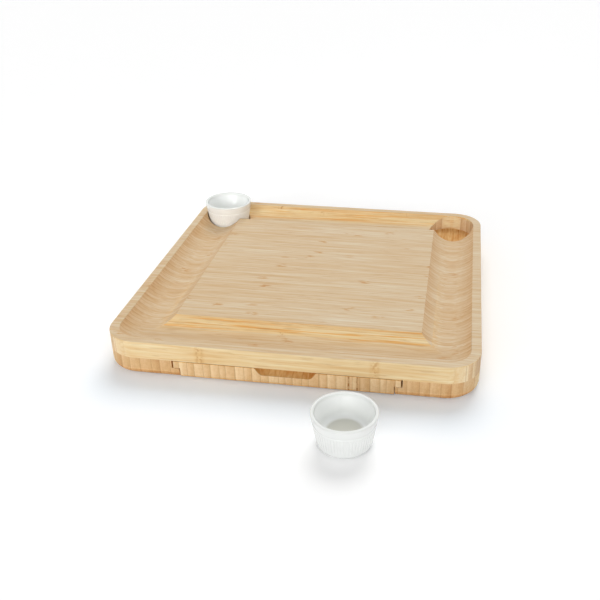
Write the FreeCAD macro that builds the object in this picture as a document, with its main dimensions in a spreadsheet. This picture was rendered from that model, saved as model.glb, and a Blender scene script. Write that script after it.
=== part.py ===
import FreeCAD, Part
import os
import Sketcher

# A square serving board for cheese, of two glued slabs of laminated bamboo.
# A rounded channel runs round a flush plateau and ends in two round wells at the back corners.
# A shallow drawer slides in the lower slab and holds four cheese tools side by side.
# One porcelain ramekin stands in the left well and its twin stands loose in front of the board.
# Millimetres. X runs to the right, Y to the back and Z up, from the middle of the underside.

SIZES = {
    # board
    "board_width": 330.0,
    "base_thick": 18.0,
    "top_thick": 16.0,
    "corner_round": 30.0,
    "lower_round": 7.5,
    "edge_ease": 0.8,
    # channel, plateau and wells
    "rim_width": 8.6,
    "plateau_half": 112.6,
    "channel_depth": 9.8,
    "well_centre": 131.5,
    "well_radius": 25.0,
    # slot under the top slab
    "slot_half": 100.8,
    "slot_lower_half": 94.3,
    "slot_depth": 153.0,
    "ledge_thick": 10.5,
    # drawer
    "drawer_half": 99.5,
    "drawer_lower_half": 93.7,
    "drawer_depth": 151.0,
    "drawer_top_gap": 0.6,
    "drawer_foot_gap": 0.4,
    "flange_gap": 0.2,
    "drawer_round": 5.5,
    # finger scoop
    "scoop_half": 27.0,
    "scoop_floor_half": 22.2,
    "scoop_drop": 6.8,
    "scoop_depth": 12.0,
    "scoop_round": 5.0,
    "scoop_sweep": 20.0,
    "scoop_bed": 2.0,
    # pockets for the tools
    "tray_front_wall": 20.0,
    "pocket_length": 172.0,
    "pocket_width": 26.0,
    "pocket_rib": 5.0,
    "pocket_depth": 11.0,
    "pocket_round": 6.0,
    # catch magnets
    "magnet_radius": 3.0,
    "magnet_thick": 3.0,
    "magnet_spread": 60.0,
    "magnet_height": 9.0,
    "magnet_sink": 0.1,
    # ramekins
    "rim_radius": 26.8,
    "ramekin_height": 30.0,
    "lip_thick": 2.8,
    "lip_round": 1.1,
    "heel_radius": 21.8,
    "heel_round": 4.0,
    "foot_inner": 16.2,
    "foot_recess": 0.8,
    "cup_floor": 11.5,
    "cup_floor_radius": 17.5,
    "cup_round": 6.0,
    "left_aside": 0.4,
    "loose_across": 61.1,
    "loose_forward": 229.4,
    # cheese tools
    "tool_length": 164.0,
    "handle_length": 88.0,
    "handle_belly": 66.0,
    "handle_butt": 15.0,
    "butt_taper": 1.0,
    "handle_neck": 11.5,
    "handle_thick": 10.0,
    "handle_round": 3.8,
    "collar_length": 7.0,
    "collar_width": 10.6,
    "collar_thick": 8.8,
    "collar_round": 2.6,
    "blade_thick": 1.6,
    "tang_width": 5.0,
    "tang_length": 38.0,
    "neck_width": 6.4,
    "neck_length": 8.4,
    "fork_width": 17.0,
    "fork_shoulder": 23.8,
    "fork_slot": 6.6,
    "fork_slot_length": 30.0,
    "tine_taper": 9.0,
    "tine_tip": 0.9,
    "spreader_width": 20.0,
    "spreader_shoulder": 21.0,
    "spreader_tip": 8.0,
    "spreader_tip_half": 3.0,
    "plane_width": 22.0,
    "plane_waist": 34.5,
    "plane_waist_half": 5.6,
    "plane_end": 9.0,
    "point_width": 20.0,
    "point_belly": 26.2,
    "point_bend": 42.8,
    "point_bend_half": 8.4,
    "point_tip_half": 0.6,
}

TOOLS = ["fork", "spreader", "plane", "point"]
SIDES = (("left", "-"), ("right", ""))

HALF = "Sizes.board_width / 2"
SLAB_TOP = "Sizes.base_thick + Sizes.top_thick"
CHANNEL_MIDDLE = "(Sizes.board_width / 2 - Sizes.rim_width + Sizes.plateau_half) / 2"
CHANNEL_HALF = "(Sizes.board_width / 2 - Sizes.rim_width - Sizes.plateau_half) / 2"
CHANNEL_RADIUS = f"(({CHANNEL_HALF})^2 + Sizes.channel_depth^2) / (2 * Sizes.channel_depth)"
CHANNEL_AXIS = f"{SLAB_TOP} - Sizes.channel_depth + {CHANNEL_RADIUS}"
DRAWER_TOP = "Sizes.base_thick - Sizes.drawer_top_gap"
POCKET_FLOOR = f"{DRAWER_TOP} - Sizes.pocket_depth"
SLOT_BACK = "Sizes.slot_depth - Sizes.board_width / 2"
DRAWER_BACK = "Sizes.drawer_depth - Sizes.board_width / 2"


def make_sheet(doc):
    """Put every driving size in the sheet under its own name."""
    sheet = doc.addObject("Spreadsheet::Sheet", "Sizes")
    for row, (name, value) in enumerate(SIZES.items(), start=1):
        sheet.set(f"A{row}", name)
        sheet.set(f"B{row}", str(value))
        sheet.setAlias(f"B{row}", name)
    doc.recompute()
    return sheet


def new_body(doc, label):
    body = doc.addObject("PartDesign::Body", label)
    body.Label = label
    return body


def new_sketch(body, name, role, offset="0"):
    """A sketch on one of the body's own origin planes, moved along that plane's normal."""
    sketch = body.newObject("Sketcher::SketchObject", name)
    plane = next(o for o in body.Origin.OriginFeatures if o.Role == role)
    sketch.AttachmentSupport = [(plane, "")]
    sketch.MapMode = "FlatFace"
    sketch.setExpression("AttachmentOffset.Base.z", offset)
    return sketch


def value_of(doc, expression):
    """The present value of an expression of the sheet's sizes."""
    probe = doc.getObject("Probe")
    probe.setExpression("Radius", f"1000 + {expression}")
    probe.recompute()
    return probe.Radius.Value - 1000


def bind_point(sketch, geometry, end, tag, x_size, y_size):
    for axis, size in (("X", x_size), ("Y", y_size)):
        value = value_of(sketch.Document, size)
        index = sketch.addConstraint(
            Sketcher.Constraint("Distance" + axis, -1, 1, geometry, end, value)
        )
        sketch.renameConstraint(index, tag + axis)
        sketch.setExpression(f"Constraints.{tag}{axis}", size)


def outline(sketch, corners, tag="p"):
    """A closed run of straight edges through corners given as pairs of size expressions."""
    doc = sketch.Document
    first = sketch.GeometryCount
    places = [FreeCAD.Vector(value_of(doc, x), value_of(doc, y), 0) for x, y in corners]
    count = len(places)
    for i in range(count):
        sketch.addGeometry(Part.LineSegment(places[i], places[(i + 1) % count]))
    for i in range(count):
        follower = first + (i + 1) % count
        sketch.addConstraint(Sketcher.Constraint("Coincident", first + i, 2, follower, 1))
    for i, (x_size, y_size) in enumerate(corners):
        bind_point(sketch, first + i, 1, f"{tag}{i}", x_size, y_size)


def circle(sketch, x_size, y_size, radius, tag):
    doc = sketch.Document
    centre = FreeCAD.Vector(value_of(doc, x_size), value_of(doc, y_size), 0)
    normal = FreeCAD.Vector(0, 0, 1)
    index = sketch.addGeometry(Part.Circle(centre, normal, value_of(doc, radius)))
    bind_point(sketch, index, 3, tag, x_size, y_size)
    rule = sketch.addConstraint(
        Sketcher.Constraint("Radius", index, value_of(doc, radius))
    )
    sketch.renameConstraint(rule, tag + "radius")
    sketch.setExpression(f"Constraints.{tag}radius", radius)


def rectangle(sketch, low_x, low_y, high_x, high_y, tag="p"):
    outline(sketch, [(low_x, low_y), (high_x, low_y), (high_x, high_y), (low_x, high_y)], tag)


def pad(body, name, profile, length, backwards=False, midplane=False):
    feature = body.newObject("PartDesign::Pad", name)
    feature.Profile = profile
    feature.setExpression("Length", length)
    feature.Reversed = backwards
    feature.Midplane = midplane
    body.Document.recompute()
    return feature


def pocket(body, name, profile, length, backwards=False, midplane=False):
    """Cut a profile out of the body, and make sure that it removed something."""
    before = body.Tip.Shape.Volume
    feature = body.newObject("PartDesign::Pocket", name)
    feature.Profile = profile
    feature.setExpression("Length", length)
    feature.Reversed = backwards
    feature.Midplane = midplane
    body.Document.recompute()
    if feature.Shape.Volume > before - 1e-3:
        raise RuntimeError(f"{body.Label}: {name} removed nothing")
    return feature


def fillet(body, name, test, radius):
    """Round the edges of the body that pass a test on the edge."""
    base = body.Tip
    edges = [f"Edge{i}" for i, edge in enumerate(base.Shape.Edges, start=1) if test(edge)]
    if not edges:
        raise RuntimeError(f"{body.Label}: {name} found no edge")
    feature = body.newObject("PartDesign::Fillet", name)
    feature.Base = (base, edges)
    feature.setExpression("Radius", radius)
    body.Document.recompute()
    return feature


def runs_along(edge, axis):
    """True for a straight edge along X, Y or Z."""
    if edge.Curve.TypeId != "Part::GeomLine":
        return False
    direction = edge.tangentAt(edge.FirstParameter)
    return abs(abs(getattr(direction, axis)) - 1) < 1e-6


def middle(edge):
    return edge.valueAt((edge.FirstParameter + edge.LastParameter) / 2)


def near(a, b):
    return abs(a - b) < 1e-3


def slab(doc, label, bottom, thickness):
    """A square slab with rounded corners, standing on a level."""
    body = new_body(doc, label)
    square = new_sketch(body, label + "_square", "XY_Plane", bottom)
    rectangle(square, f"-{HALF}", f"-{HALF}", HALF, HALF)
    pad(body, label + "_pad", square, thickness)
    fillet(body, label + "_corners", lambda e: runs_along(e, "z"), "Sizes.corner_round")
    return body


def on_level(edge, level):
    box = edge.BoundBox
    return near(box.ZMin, level) and near(box.ZMax, level)


def make_top_slab(doc):
    body = slab(doc, "top_slab", "Sizes.base_thick", "Sizes.top_thick")
    top = value_of(doc, SLAB_TOP)
    fillet(body, "top_slab_ease", lambda e: on_level(e, top), "Sizes.edge_ease")

    for name, role in (("side_channels", "XZ_Plane"), ("cross_channels", "YZ_Plane")):
        channels = new_sketch(body, name, role)
        for tag, sign in SIDES:
            circle(channels, f"{sign}({CHANNEL_MIDDLE})", CHANNEL_AXIS, CHANNEL_RADIUS, tag)
        pocket(body, name + "_cut", channels, f"2 * ({CHANNEL_MIDDLE})", midplane=True)

    # The round cutter leaves a ball-shaped outer corner wherever it turns.
    for tag, sign in SIDES:
        for end, back_sign in (("front", "-"), ("back", "")):
            ball = body.newObject("PartDesign::SubtractiveSphere", f"{end}_{tag}_corner")
            ball.setExpression("Placement.Base.x", f"{sign}({CHANNEL_MIDDLE})")
            ball.setExpression("Placement.Base.y", f"{back_sign}({CHANNEL_MIDDLE})")
            ball.setExpression("Placement.Base.z", CHANNEL_AXIS)
            ball.setExpression("Radius", CHANNEL_RADIUS)
    doc.recompute()

    wells = new_sketch(body, "wells", "XY_Plane", SLAB_TOP)
    for tag, sign in SIDES:
        circle(wells, f"{sign}Sizes.well_centre", "Sizes.well_centre", "Sizes.well_radius", tag)
    pocket(body, "wells_cut", wells, "Sizes.top_thick")
    return body


def make_base_slab(doc):
    body = slab(doc, "base_slab", "0", "Sizes.base_thick")
    fillet(body, "base_slab_round", lambda e: on_level(e, 0), "Sizes.lower_round")

    slot = new_sketch(body, "slot", "XZ_Plane", HALF)
    rectangle(slot, "-Sizes.slot_half", "Sizes.ledge_thick", "Sizes.slot_half", "Sizes.base_thick")
    pocket(body, "slot_cut", slot, "Sizes.slot_depth")

    throat = new_sketch(body, "throat", "XZ_Plane", HALF)
    rectangle(throat, "-Sizes.slot_lower_half", "0", "Sizes.slot_lower_half", "Sizes.ledge_thick")
    pocket(body, "throat_cut", throat, "Sizes.slot_depth")

    seats = new_sketch(body, "magnet_seats", "XZ_Plane", f"-({SLOT_BACK})")
    magnet_pair(seats)
    pocket(body, "magnet_seats_cut", seats, "Sizes.magnet_thick + Sizes.magnet_sink")
    return body


def magnet_pair(sketch):
    for tag, sign in SIDES:
        across = f"{sign}Sizes.magnet_spread"
        circle(sketch, across, "Sizes.magnet_height", "Sizes.magnet_radius", tag)


def make_magnets(doc, label, back_end):
    """Two disc magnets lying along Y, with their back ends in one plane."""
    discs = []
    for tag, sign in SIDES:
        disc = doc.addObject("Part::Cylinder", f"{label}_{tag}")
        disc.Placement.Rotation = FreeCAD.Rotation(FreeCAD.Vector(1, 0, 0), 90)
        disc.setExpression("Radius", "Sizes.magnet_radius")
        disc.setExpression("Height", "Sizes.magnet_thick")
        disc.setExpression("Placement.Base.x", f"{sign}Sizes.magnet_spread")
        disc.setExpression("Placement.Base.y", back_end)
        disc.setExpression("Placement.Base.z", "Sizes.magnet_height")
        discs.append(disc)
    pair = doc.addObject("Part::Compound", label)
    pair.Label = label
    pair.Links = discs
    doc.recompute()
    return pair


def make_drawer(doc):
    body = new_body(doc, "drawer_tray")
    flange_floor = "Sizes.ledge_thick + Sizes.flange_gap"
    profile = new_sketch(body, "drawer_profile", "XZ_Plane", HALF)
    outline(
        profile,
        [
            ("-Sizes.drawer_lower_half", "Sizes.drawer_foot_gap"),
            ("Sizes.drawer_lower_half", "Sizes.drawer_foot_gap"),
            ("Sizes.drawer_lower_half", flange_floor),
            ("Sizes.drawer_half", flange_floor),
            ("Sizes.drawer_half", DRAWER_TOP),
            ("-Sizes.drawer_half", DRAWER_TOP),
            ("-Sizes.drawer_half", flange_floor),
            ("-Sizes.drawer_lower_half", flange_floor),
        ],
    )
    pad(body, "drawer_block", profile, "Sizes.drawer_depth", backwards=True)

    front = -value_of(doc, HALF)
    foot = value_of(doc, "Sizes.drawer_foot_gap")

    def lower_front(edge):
        point = middle(edge)
        return runs_along(edge, "x") and near(point.y, front) and near(point.z, foot)

    fillet(body, "drawer_round", lower_front, "Sizes.drawer_round")

    scoop = new_sketch(body, "finger_scoop", "XZ_Plane", HALF)
    scoop_floor = f"{DRAWER_TOP} - Sizes.scoop_drop"
    outline(
        scoop,
        [
            ("-Sizes.scoop_floor_half", scoop_floor),
            ("Sizes.scoop_floor_half", scoop_floor),
            ("Sizes.scoop_half", DRAWER_TOP),
            ("-Sizes.scoop_half", DRAWER_TOP),
        ],
    )
    pocket(body, "finger_scoop_cut", scoop, "Sizes.scoop_depth")
    floor_level = value_of(doc, scoop_floor)

    def scoop_corner(edge):
        point = middle(edge)
        return runs_along(edge, "y") and near(point.z, floor_level)

    fillet(body, "finger_scoop_round", scoop_corner, "Sizes.scoop_round")
    raise_scoop_floor(body, scoop_floor)

    pockets = new_sketch(body, "tool_pockets", "XY_Plane", DRAWER_TOP)
    for row in range(len(TOOLS)):
        low = pocket_edge(row)
        rectangle(
            pockets,
            "-Sizes.pocket_length / 2",
            low,
            "Sizes.pocket_length / 2",
            f"{low} + Sizes.pocket_width",
            f"row{row}p",
        )
    pocket(body, "tool_pockets_cut", pockets, "Sizes.pocket_depth")
    pocket_end = value_of(doc, "Sizes.pocket_length / 2")
    fillet(
        body,
        "tool_pockets_round",
        lambda e: runs_along(e, "z") and near(abs(middle(e).x), pocket_end),
        "Sizes.pocket_round",
    )

    seats = new_sketch(body, "drawer_magnet_seats", "XZ_Plane", f"-({DRAWER_BACK})")
    magnet_pair(seats)
    depth = "Sizes.magnet_thick + Sizes.magnet_sink"
    pocket(body, "drawer_magnet_seats_cut", seats, depth, backwards=True)
    return body


def raise_scoop_floor(body, scoop_floor):
    """Fill the scoop's back so that its floor sweeps up in an arc to the drawer's top."""
    doc = body.Document
    bed = new_sketch(body, "scoop_bed", "YZ_Plane")
    scoop_back = f"Sizes.scoop_depth - {HALF}"
    outline(
        bed,
        [
            (scoop_back, DRAWER_TOP),
            (f"-{HALF}", scoop_floor),
            (f"{scoop_back} + Sizes.scoop_bed", f"{scoop_floor} - Sizes.scoop_bed"),
            (f"{scoop_back} + Sizes.scoop_bed", DRAWER_TOP),
        ],
    )
    back = FreeCAD.Vector(value_of(doc, scoop_back), value_of(doc, DRAWER_TOP), 0)
    front = FreeCAD.Vector(-value_of(doc, HALF), value_of(doc, scoop_floor), 0)
    chord = front - back
    radius = value_of(doc, "Sizes.scoop_sweep")
    rise = (radius**2 - chord.Length**2 / 4) ** 0.5
    across = FreeCAD.Vector(chord.y, -chord.x, 0).normalize()
    centre = (front + back) / 2 + across * rise
    lowest = centre + (front + back - centre * 2).normalize() * radius
    sweep = bed.addGeometry(Part.Arc(front, lowest, back))
    chord_line = 0
    bed.toggleConstruction(chord_line)
    bed.addConstraint(Sketcher.Constraint("Coincident", sweep, 1, chord_line, 2))
    bed.addConstraint(Sketcher.Constraint("Coincident", sweep, 2, chord_line, 1))
    rule = bed.addConstraint(Sketcher.Constraint("Radius", sweep, radius))
    bed.renameConstraint(rule, "sweep_radius")
    bed.setExpression("Constraints.sweep_radius", "Sizes.scoop_sweep")
    pad(body, "scoop_bed_pad", bed, "2 * Sizes.scoop_half + 2 * Sizes.scoop_bed", midplane=True)


def pocket_edge(row):
    """The front edge of a tool's pocket."""
    step = f"{row} * (Sizes.pocket_width + Sizes.pocket_rib)"
    return f"Sizes.tray_front_wall + {step} - {HALF}"


def make_ramekin(doc, label, across, back, level):
    """A turned cup with a sloping wall, a round lip, a bowl-like inside and a ring foot."""
    body = new_body(doc, label)
    cup = new_sketch(body, label + "_section", "XZ_Plane")
    outline(
        cup,
        [
            ("0", "Sizes.foot_recess"),
            ("Sizes.foot_inner", "Sizes.foot_recess"),
            ("Sizes.foot_inner + Sizes.foot_recess", "0"),
            ("Sizes.heel_radius", "0"),
            ("Sizes.rim_radius", "Sizes.ramekin_height"),
            ("Sizes.rim_radius - Sizes.lip_thick", "Sizes.ramekin_height"),
            ("Sizes.cup_floor_radius", "Sizes.cup_floor"),
            ("0", "Sizes.cup_floor"),
        ],
    )
    turned = body.newObject("PartDesign::Revolution", label + "_turned")
    turned.Profile = cup
    turned.ReferenceAxis = (cup, ["V_Axis"])
    turned.Angle = 360
    doc.recompute()
    floor = value_of(doc, "Sizes.cup_floor")
    lip = value_of(doc, "Sizes.ramekin_height")
    heel = value_of(doc, "Sizes.heel_radius")

    def heel_edge(edge):
        return on_level(edge, 0) and near(edge.Curve.Radius, heel)

    fillet(body, label + "_cup_round", lambda e: on_level(e, floor), "Sizes.cup_round")
    fillet(body, label + "_heel_round", heel_edge, "Sizes.heel_round")
    fillet(body, label + "_lip_round", lambda e: on_level(e, lip), "Sizes.lip_round")
    body.setExpression("Placement.Base.x", across)
    body.setExpression("Placement.Base.y", back)
    body.setExpression("Placement.Base.z", level)
    return body


def blade_outline(name):
    """Half of a blade's plan, from the collar to its tip, as (distance, half width) pairs."""
    blade_end = "(Sizes.tool_length - Sizes.handle_length - Sizes.collar_length)"
    neck = "Sizes.neck_width / 2"
    width = f"Sizes.{name}_width / 2"
    start = [("0", neck), ("Sizes.neck_length", neck)]
    if name == "fork":
        slot = "Sizes.fork_slot / 2"
        return start + [
            ("Sizes.fork_shoulder", width),
            (f"{blade_end} - Sizes.tine_taper", width),
            (blade_end, f"{slot} + Sizes.tine_tip"),
            (f"{blade_end} - Sizes.tine_taper", slot),
            (f"{blade_end} - Sizes.fork_slot_length", slot),
        ]
    if name == "spreader":
        return start + [
            ("Sizes.spreader_shoulder", width),
            (f"{blade_end} - Sizes.spreader_tip", width),
            (blade_end, "Sizes.spreader_tip_half"),
        ]
    if name == "plane":
        return start + [
            ("Sizes.plane_waist", "Sizes.plane_waist_half"),
            (f"{blade_end} - Sizes.plane_end", width),
            (blade_end, width),
        ]
    return start + [
        ("Sizes.point_belly", width),
        ("Sizes.point_bend", "Sizes.point_bend_half"),
        (blade_end, "Sizes.point_tip_half"),
    ]


def lay_tool_piece(body, row, level):
    """Put a piece, drawn along X from the front of its handle, into its pocket."""
    start = "Sizes.tool_length / 2 - Sizes.handle_length"
    body.setExpression("Placement.Base.x", start)
    body.setExpression("Placement.Base.y", f"{pocket_edge(row)} + Sizes.pocket_width / 2")
    body.setExpression("Placement.Base.z", level)


def make_tool(doc, name, row):
    """A blade with its tang, a steel collar and a bamboo handle, lying along X."""
    middle_level = f"{POCKET_FLOOR} + Sizes.handle_thick / 2"

    blade = new_body(doc, name + "_blade")
    plan = new_sketch(blade, name + "_plan", "XY_Plane")
    upper = blade_outline(name)
    right = [(f"-Sizes.collar_length - ({x})", y) for x, y in upper]
    left = [(x, f"-({y})") for x, y in reversed(right)]
    tang = [
        ("-Sizes.collar_length", "-Sizes.tang_width / 2"),
        ("Sizes.tang_length", "-Sizes.tang_width / 2"),
        ("Sizes.tang_length", "Sizes.tang_width / 2"),
        ("-Sizes.collar_length", "Sizes.tang_width / 2"),
    ]
    outline(plan, tang + right + left)
    pad(blade, name + "_plate", plan, "Sizes.blade_thick", midplane=True)
    lay_tool_piece(blade, row, middle_level)

    collar = new_body(doc, name + "_collar")
    block = new_sketch(collar, name + "_collar_section", "YZ_Plane")
    rectangle(
        block,
        "-Sizes.collar_width / 2",
        "-Sizes.collar_thick / 2",
        "Sizes.collar_width / 2",
        "Sizes.collar_thick / 2",
    )
    pad(collar, name + "_collar_block", block, "Sizes.collar_length", backwards=True)
    fillet(collar, name + "_collar_round", lambda e: runs_along(e, "x"), "Sizes.collar_round")
    cut_tang(collar, name + "_collar_slot", "Sizes.collar_length", backwards=False)
    lay_tool_piece(collar, row, middle_level)

    handle = new_body(doc, name + "_handle")
    grip = new_sketch(handle, name + "_grip_plan", "XY_Plane")
    outline(
        grip,
        [
            ("0", "-Sizes.handle_neck / 2"),
            ("Sizes.handle_belly", "-Sizes.handle_butt / 2"),
            ("Sizes.handle_length", "Sizes.butt_taper - Sizes.handle_butt / 2"),
            ("Sizes.handle_length", "Sizes.handle_butt / 2 - Sizes.butt_taper"),
            ("Sizes.handle_belly", "Sizes.handle_butt / 2"),
            ("0", "Sizes.handle_neck / 2"),
        ],
    )
    pad(handle, name + "_grip", grip, "Sizes.handle_thick", midplane=True)
    end = value_of(doc, "Sizes.handle_length")
    fillet(
        handle,
        name + "_butt_round",
        lambda e: runs_along(e, "z") and near(middle(e).x, end),
        "Sizes.handle_round",
    )
    thick = value_of(doc, "Sizes.handle_thick / 2")
    fillet(
        handle,
        name + "_grip_round",
        lambda e: near(abs(middle(e).z), thick) and middle(e).x > 1,
        "Sizes.handle_round",
    )
    cut_tang(handle, name + "_handle_slot", "Sizes.tang_length", backwards=True)
    lay_tool_piece(handle, row, middle_level)
    return [blade, collar, handle]


def cut_tang(body, name, length, backwards):
    """The slot that holds the tang, from the plane where collar and handle meet."""
    slot = new_sketch(body, name, "YZ_Plane")
    rectangle(
        slot,
        "-Sizes.tang_width / 2",
        "-Sizes.blade_thick / 2",
        "Sizes.tang_width / 2",
        "Sizes.blade_thick / 2",
    )
    pocket(body, name + "_cut", slot, length, backwards=backwards)


def check(doc, pieces):
    for thing in doc.Objects:
        if "Invalid" in thing.State or "Error" in thing.State:
            raise RuntimeError(f"{thing.Label} is {thing.State}")
    for piece in pieces:
        shape = piece.Shape
        if shape.isNull() or not shape.isValid():
            raise RuntimeError(f"{piece.Label} has no valid shape")


def main():
    doc = FreeCAD.newDocument("cheese_board")
    make_sheet(doc)
    doc.addObject("Part::Sphere", "Probe")
    pieces = [make_top_slab(doc), make_base_slab(doc), make_drawer(doc)]
    base_end = f"{SLOT_BACK} + Sizes.magnet_sink + Sizes.magnet_thick"
    pieces.append(make_magnets(doc, "base_magnets", base_end))
    pieces.append(make_magnets(doc, "drawer_magnets", f"{DRAWER_BACK} - Sizes.magnet_sink"))
    left = ("-Sizes.well_centre + Sizes.left_aside", "Sizes.well_centre", "Sizes.base_thick")
    pieces.append(make_ramekin(doc, "ramekin_left", *left))
    loose = ("Sizes.loose_across", "-Sizes.loose_forward", "0")
    pieces.append(make_ramekin(doc, "ramekin_front", *loose))
    for row, name in enumerate(TOOLS):
        pieces += make_tool(doc, name, row)
    doc.removeObject("Probe")
    doc.recompute()
    check(doc, pieces)
    os.makedirs("parts", exist_ok=True)
    for piece in pieces:
        piece.Shape.exportStep(f"parts/{piece.Label}.step")
        box = piece.Shape.BoundBox
        print(
            f"{piece.Label}: {len(piece.Shape.Solids)} solid, {piece.Shape.Volume:.0f} mm3,"
            f" X {box.XMin:.1f} {box.XMax:.1f}, Y {box.YMin:.1f} {box.YMax:.1f},"
            f" Z {box.ZMin:.1f} {box.ZMax:.1f}"
        )


main()
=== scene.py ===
import math

import bmesh
import bpy
import numpy as np
from mathutils import Matrix, Vector


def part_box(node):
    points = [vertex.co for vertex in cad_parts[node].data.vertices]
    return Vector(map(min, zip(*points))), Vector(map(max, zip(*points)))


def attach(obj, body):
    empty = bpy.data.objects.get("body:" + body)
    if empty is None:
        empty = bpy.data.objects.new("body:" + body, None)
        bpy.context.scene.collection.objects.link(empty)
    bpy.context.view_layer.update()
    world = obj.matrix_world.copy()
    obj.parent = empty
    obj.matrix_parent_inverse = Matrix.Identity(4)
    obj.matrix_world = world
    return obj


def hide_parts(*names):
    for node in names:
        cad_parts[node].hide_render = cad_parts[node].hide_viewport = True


# The looks of a square bamboo serving board with a drawer of cheese tools and two porcelain ramekins.
# Metres. X runs to the right, Y to the back and Z up, from the middle of the board's underside.

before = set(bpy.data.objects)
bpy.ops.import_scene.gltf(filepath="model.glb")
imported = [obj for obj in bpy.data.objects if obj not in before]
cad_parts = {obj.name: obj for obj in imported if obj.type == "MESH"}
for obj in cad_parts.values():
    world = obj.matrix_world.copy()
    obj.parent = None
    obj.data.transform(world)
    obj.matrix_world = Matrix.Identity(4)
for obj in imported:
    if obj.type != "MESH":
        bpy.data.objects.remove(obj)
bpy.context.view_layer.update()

MM = 0.001
SAME_POINT = 1e-6
WHITE = (1.0, 1.0, 1.0, 1.0)

# Sizes read from the frame
SLAB_LOW, SLAB_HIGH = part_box("top_slab")
HALF = SLAB_HIGH.x
BASE_TOP = SLAB_LOW.z
SLAB_TOP = SLAB_HIGH.z
TRAY_LOW, TRAY_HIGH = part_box("drawer_tray")
MAGNET_LOW, MAGNET_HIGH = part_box("base_magnets")
TOOLS = ["fork", "spreader", "plane", "point"]

# Board
CORNER_ROUND = 30 * MM
LOWER_ROUND = 7.5 * MM
TOP_EASE = 0.8 * MM
EDGE_EASE = 0.5 * MM
RIM_WIDTH = 8.6 * MM
PLATEAU_HALF = 112.6 * MM
CHANNEL_DEPTH = 9.8 * MM
CHANNEL_MIDDLE = (HALF - RIM_WIDTH + PLATEAU_HALF) / 2
CHANNEL_HALF = (HALF - RIM_WIDTH - PLATEAU_HALF) / 2
WELL_CENTRE = 131.5 * MM
WELL_RADIUS = 25 * MM

# Slot and drawer
SLOT_HALF = 100.8 * MM
SLOT_LOWER_HALF = 94.3 * MM
SLOT_BACK = 153 * MM - HALF
LEDGE_TOP = 10.5 * MM
TRAY_LOWER_HALF = 93.7 * MM
FLANGE_FLOOR = 10.7 * MM
TRAY_ROUND = 5.5 * MM
SCOOP_HALF = 27 * MM
SCOOP_FLOOR_HALF = 22.2 * MM
SCOOP_DROP = 6.8 * MM
SCOOP_DEPTH = 12 * MM
SCOOP_ROUND = 5 * MM
SCOOP_SWEEP = 20 * MM
POCKET_HALF = 86 * MM
POCKET_WIDTH = 26 * MM
POCKET_STEP = 31 * MM
POCKET_ROUND = 6 * MM
POCKET_FLOOR = TRAY_HIGH.z - 11 * MM
FIRST_POCKET = 20 * MM - HALF
MAGNET_SPREAD = (MAGNET_HIGH.x - MAGNET_LOW.x) / 2 - 3 * MM
MAGNET_RADIUS = 3 * MM
MAGNET_SEAT = 3.1 * MM
MAGNET_LEVEL = 9 * MM
SMALL_EASE = 0.35 * MM


def srgb(red, green, blue):
    """A colour given as it shows on a screen, 0 to 255, as linear light."""
    shares = [value / 255 for value in (red, green, blue)]
    linear = [s / 12.92 if s <= 0.04045 else ((s + 0.055) / 1.055) ** 2.4 for s in shares]
    return (*linear, 1.0)


# Mesh helpers

def set_out(name, data):
    """A new object in the scene, for a mesh, a lamp or the camera."""
    thing = bpy.data.objects.new(name, data)
    bpy.context.scene.collection.objects.link(thing)
    return thing


def mesh_object(name, points, faces, edges=()):
    mesh = bpy.data.meshes.new(name)
    mesh.from_pydata([tuple(p) for p in points], list(edges), faces)
    mesh.update()
    return set_out(name, mesh)


def settle(piece):
    """Turn the piece with all its modifiers into a plain mesh."""
    graph = bpy.context.evaluated_depsgraph_get()
    mesh = bpy.data.meshes.new_from_object(piece.evaluated_get(graph))
    piece.modifiers.clear()
    piece.data = mesh
    mesh.name = piece.name
    return piece


def open_up(piece):
    """The piece's mesh in a form whose edges can be worked on."""
    shell = bmesh.new()
    shell.from_mesh(piece.data)
    return shell


def close_up(shell, piece):
    shell.to_mesh(piece.data)
    shell.free()


def tidy_shell(piece):
    """Merge doubled points and turn every face outwards."""
    shell = open_up(piece)
    bmesh.ops.remove_doubles(shell, verts=shell.verts, dist=SAME_POINT)
    bmesh.ops.dissolve_degenerate(shell, edges=shell.edges, dist=SAME_POINT)
    bmesh.ops.recalc_face_normals(shell, faces=shell.faces)
    close_up(shell, piece)


def bevel(shell, edges, width, segments):
    bmesh.ops.bevel(
        shell, geom=edges, offset=width, offset_type="OFFSET", segments=segments, profile=0.5,
        affect="EDGES", clamp_overlap=False,
    )


def loft(name, rings):
    """A closed shell through rings of equally many points, with a cap at both ends."""
    count = len(rings[0])
    points = [p for ring in rings for p in ring]
    faces = []
    for row in range(len(rings) - 1):
        for i in range(count):
            j = (i + 1) % count
            low, high = row * count, (row + 1) * count
            faces.append((low + i, low + j, high + j, high + i))
    faces.append(tuple(range(count))[::-1])
    faces.append(tuple(range(len(points) - count, len(points))))
    piece = mesh_object(name, points, faces)
    tidy_shell(piece)
    return piece


def arc(centre, radius, start, end, steps):
    """Points of an arc in a plane, angles in degrees."""
    turns = [math.radians(start + (end - start) * i / steps) for i in range(steps + 1)]
    return [(centre[0] + radius * math.cos(t), centre[1] + radius * math.sin(t)) for t in turns]


def circle(centre, radius, steps):
    return arc(centre, radius, 0, 360, steps)[:-1]


def quarter_round(radius, steps):
    """How far each step of an edge's round stands in from the wall and down from the top."""
    turns = [math.radians(90 * i / steps) for i in range(steps + 1)]
    return [(radius * (1 - math.cos(t)), radius * (1 - math.sin(t))) for t in turns]


def both_sides(points):
    """Points and, in reverse order, the same points on the other side of the middle line."""
    return points + [(-x, z) for x, z in reversed(points)]


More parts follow.
